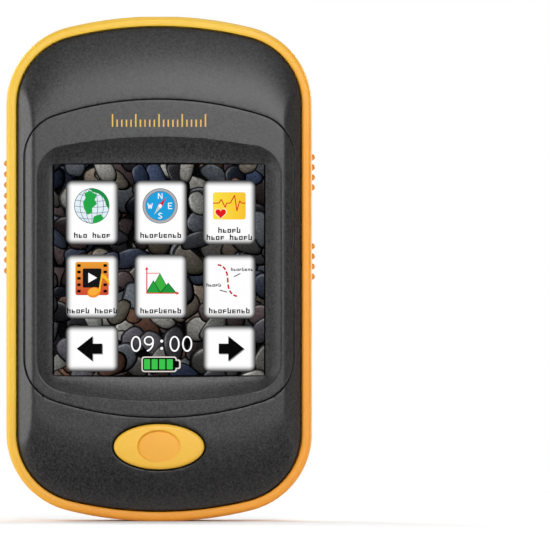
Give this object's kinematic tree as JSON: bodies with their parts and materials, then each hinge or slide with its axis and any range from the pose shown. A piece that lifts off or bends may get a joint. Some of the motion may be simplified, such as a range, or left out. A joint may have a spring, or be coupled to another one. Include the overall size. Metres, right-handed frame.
{
  "type": "handheld gps unit",
  "caption": "Pocket outdoor navigator: barrel-shaped case, recessed square touch screen, oval front key, amber edge band, ribbed side keys, ribbed port cover and latched battery door.",
  "frame": {"origin": "middle of the flat land at the foot, which the unit stands on, centred in its width and its depth", "axes": "+Z along the length towards the top end, +X to the right as the user sees the screen, -Y out of the screen"},
  "size_m": [0.0618, 0.024, 0.1],
  "materials": {
    "shell": "fine-textured charcoal moulding",
    "band": "satin amber elastomer, a little yellower at the upper left",
    "accent": "satin amber elastomer",
    "black_rubber": "matt silicone",
    "seal": "matt orange silicone",
    "glass": "chemically strengthened, glossy",
    "display": "lit colour display",
    "steel": "stainless, fine brushed",
    "contact_gold": "gold-plated",
    "flex_film": "amber polyimide film",
    "circuit_board": "green solder mask",
    "black_plastic": "moulded, matt",
    "white_plastic": "moulded, matt",
    "patch_ceramic": "unglazed",
    "battery_can": "film-wrapped flat cell"
  },
  "bodies": {
    "housing": {"front_shell": "shell", "screen_bezel": "shell", "bumper_band": "band", "rear_case": "shell", "case_seal": "black_rubber", "case_screw_1": "steel", "case_screw_2": "steel", "case_screw_3": "steel", "case_screw_4": "steel", "lanyard_pin": "steel", "main_button_seal": "black_rubber", "upper_key_oring": "black_rubber", "lower_key_oring": "black_rubber", "port_cover_pin": "steel", "touch_glass": "glass", "glass_gasket": "black_rubber", "display_panel": "display", "backlight_tray": "steel", "display_chassis": "black_plastic", "display_flex": "flex_film", "flex_connector": "white_plastic", "main_board": "circuit_board", "board_screw_1": "steel", "board_screw_2": "steel", "board_screw_3": "steel", "board_screw_4": "steel", "main_key_switch": "steel", "upper_key_switch": "black_plastic", "lower_key_switch": "black_plastic", "gps_antenna": "patch_ceramic", "antenna_plate": "contact_gold", "rf_shield": "steel", "processor_shield": "steel", "compass_sensor": "black_plastic", "pressure_sensor": "steel", "clock_cell": "steel", "usb_socket": "steel", "card_socket": "steel", "memory_card": "black_plastic", "battery_pack": "battery_can", "contact_block": "black_plastic", "contact_blade_1": "contact_gold", "contact_blade_2": "contact_gold", "contact_blade_3": "contact_gold", "loudspeaker": "black_plastic", "speaker_gasket": "black_rubber"},
    "main_button": {"main_button": "accent"},
    "upper_key": {"upper_side_key": "accent"},
    "lower_key": {"lower_side_key": "accent"},
    "port_cover": {"port_cover": "accent"},
    "battery_door": {"battery_door": "shell", "door_seal": "seal"},
    "latch": {"latch_knob": "steel", "latch_tongue": "steel", "latch_screw": "steel", "latch_oring": "black_rubber"},
    "latch_ring": {"latch_ring": "steel"}
  },
  "joints": [
    {"name": "main_button_press", "type": "slide", "parent": "housing", "child": "main_button", "axis": [0, 1, 0], "range_m": [0, 0.0008], "stiffness_N_per_m": 1500, "springref_m": -0.0002},
    {"name": "upper_key_press", "type": "slide", "parent": "housing", "child": "upper_key", "axis": [-1, 0, 0], "range_m": [0, 0.0006], "stiffness_N_per_m": 1500, "springref_m": -0.0002},
    {"name": "lower_key_press", "type": "slide", "parent": "housing", "child": "lower_key", "axis": [-1, 0, 0], "range_m": [0, 0.0006], "stiffness_N_per_m": 1500, "springref_m": -0.0002},
    {"name": "port_cover_swing", "type": "hinge", "parent": "housing", "child": "port_cover", "pos_m": [-0.0294, 0, 0.0486], "axis": [0, -1, 0], "range_deg": [0, 90]},
    {"name": "battery_door_swing", "type": "hinge", "parent": "housing", "child": "battery_door", "pos_m": [0, 0.011, 0.07705], "axis": [1, 0, 0], "range_deg": [0, 65]},
    {"name": "latch_turn", "type": "hinge", "parent": "battery_door", "child": "latch", "pos_m": [0, 0.01, 0.0219], "axis": [0, 1, 0], "range_deg": [0, 90]},
    {"name": "ring_flip", "type": "hinge", "parent": "latch", "child": "latch_ring", "pos_m": [0, 0.011, 0.0219], "axis": [1, 0, 0], "range_deg": [0, 100]}
  ]
}
